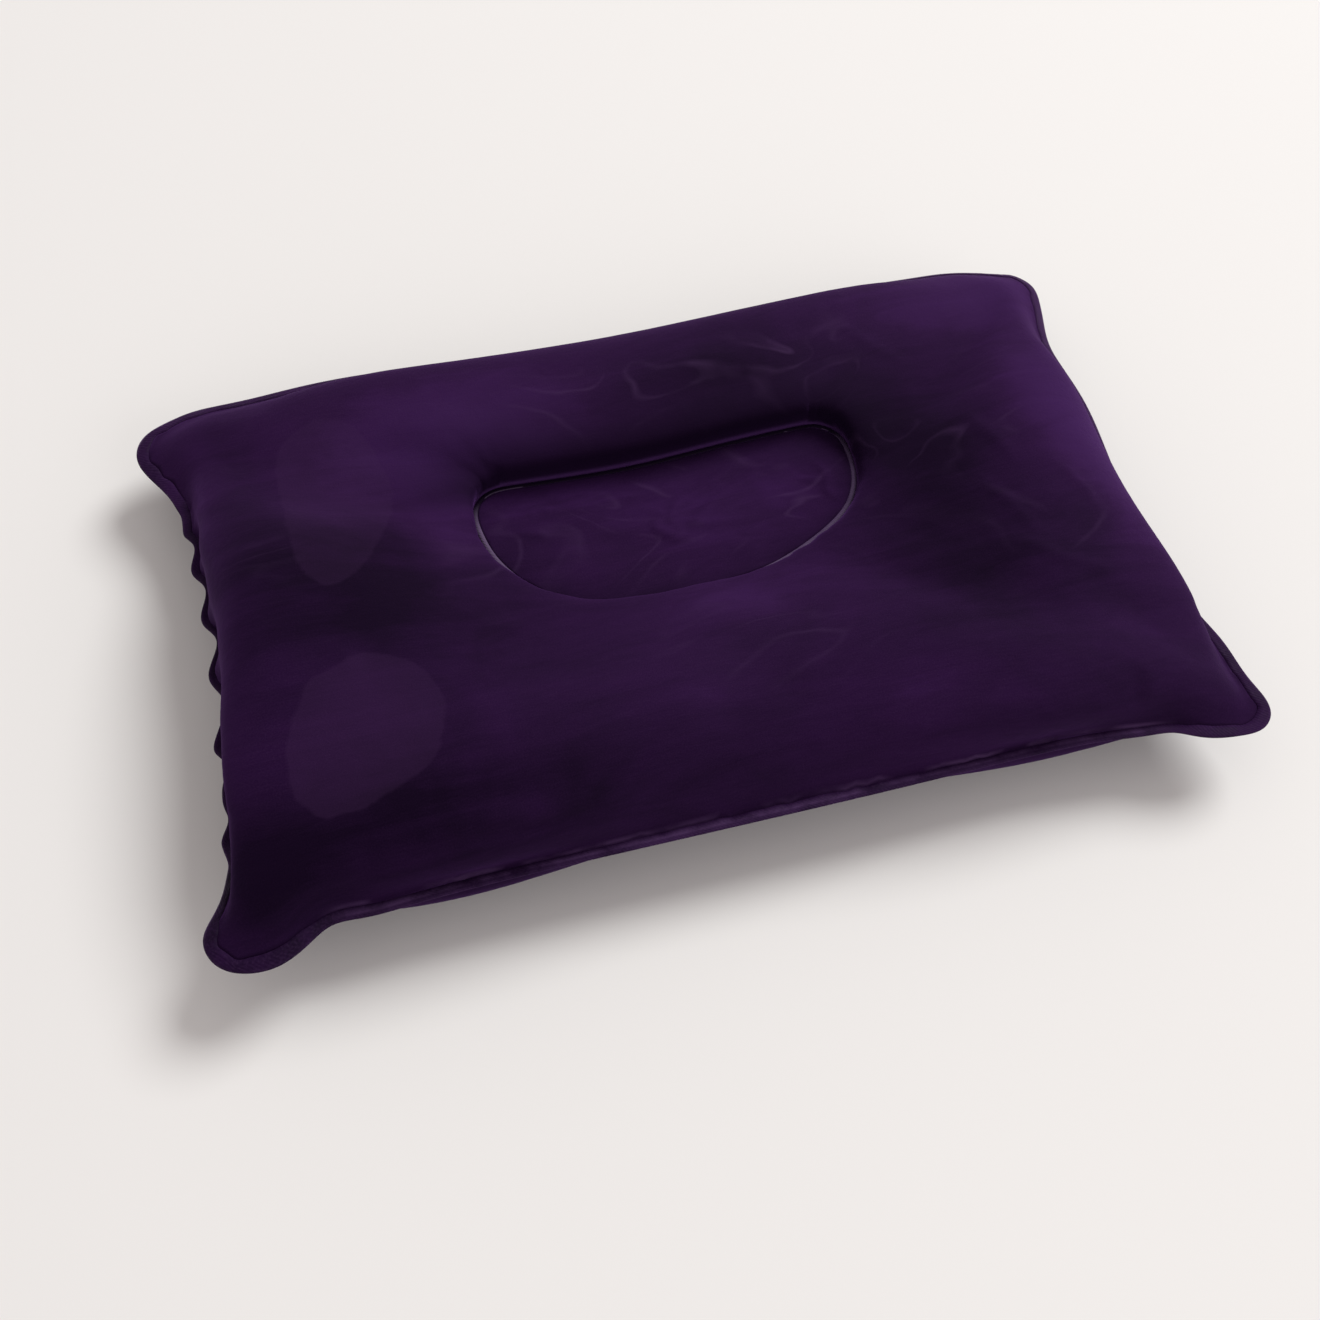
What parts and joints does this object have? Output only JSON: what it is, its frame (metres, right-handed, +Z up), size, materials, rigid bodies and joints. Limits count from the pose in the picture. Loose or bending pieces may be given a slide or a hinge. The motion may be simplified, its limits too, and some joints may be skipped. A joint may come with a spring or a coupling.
{
  "type": "inflatable travel pillow",
  "caption": "Rectangular inflatable flocked-vinyl travel pillow with rounded corner ears, a D-shaped welded head recess and a push-in air valve underneath.",
  "frame": {"origin": "on the surface the pillow rests on, under the middle of its outline", "axes": "+X along the length, +Y across towards the long edge nearest the head recess, +Z up"},
  "size_m": [0.456, 0.29, 0.0709],
  "materials": {
    "flocked_vinyl": "short dense flock on vinyl, dark purple, soft sheen",
    "welded_rim": "flock crushed flat by the rim weld",
    "middle_weld": "narrow pressed weld line, slightly paler",
    "flocked_web": "slack flocked vinyl with fine wrinkles",
    "valve_vinyl": "soft moulded vinyl, satin",
    "stopper_vinyl": "soft moulded vinyl, satin"
  },
  "bodies": {
    "pillow": {"upper_panel": "flocked_vinyl", "lower_panel": "flocked_vinyl", "rim_weld": "welded_rim", "centre_weld": "middle_weld", "upper_web": "flocked_web", "lower_web": "flocked_web", "valve_flange": "valve_vinyl", "valve_skirt": "valve_vinyl"},
    "valve_stem": {"valve_stem": "valve_vinyl", "stopper_strap": "stopper_vinyl"},
    "check_flap": {"check_flap": "valve_vinyl"},
    "stopper": {"stopper": "stopper_vinyl"}
  },
  "joints": [
    {"name": "stem_slide", "type": "slide", "parent": "pillow", "child": "valve_stem", "axis": [0.515, 0, -0.8572], "range_m": [0, 0.007], "deforming": ["valve_skirt"]},
    {"name": "stopper_pull", "type": "slide", "parent": "valve_stem", "child": "stopper", "axis": [0.515, 0, -0.8572], "range_m": [0, 0.0085], "deforming": ["stopper_strap"]},
    {"name": "flap_swing", "type": "hinge", "parent": "valve_stem", "child": "check_flap", "pos_m": [0.18179, 0.0508, 0.02445], "axis": [-0.8572, 0, -0.515], "range_deg": [0, 40], "stiffness_Nm_per_rad": 0.0002}
  ]
}
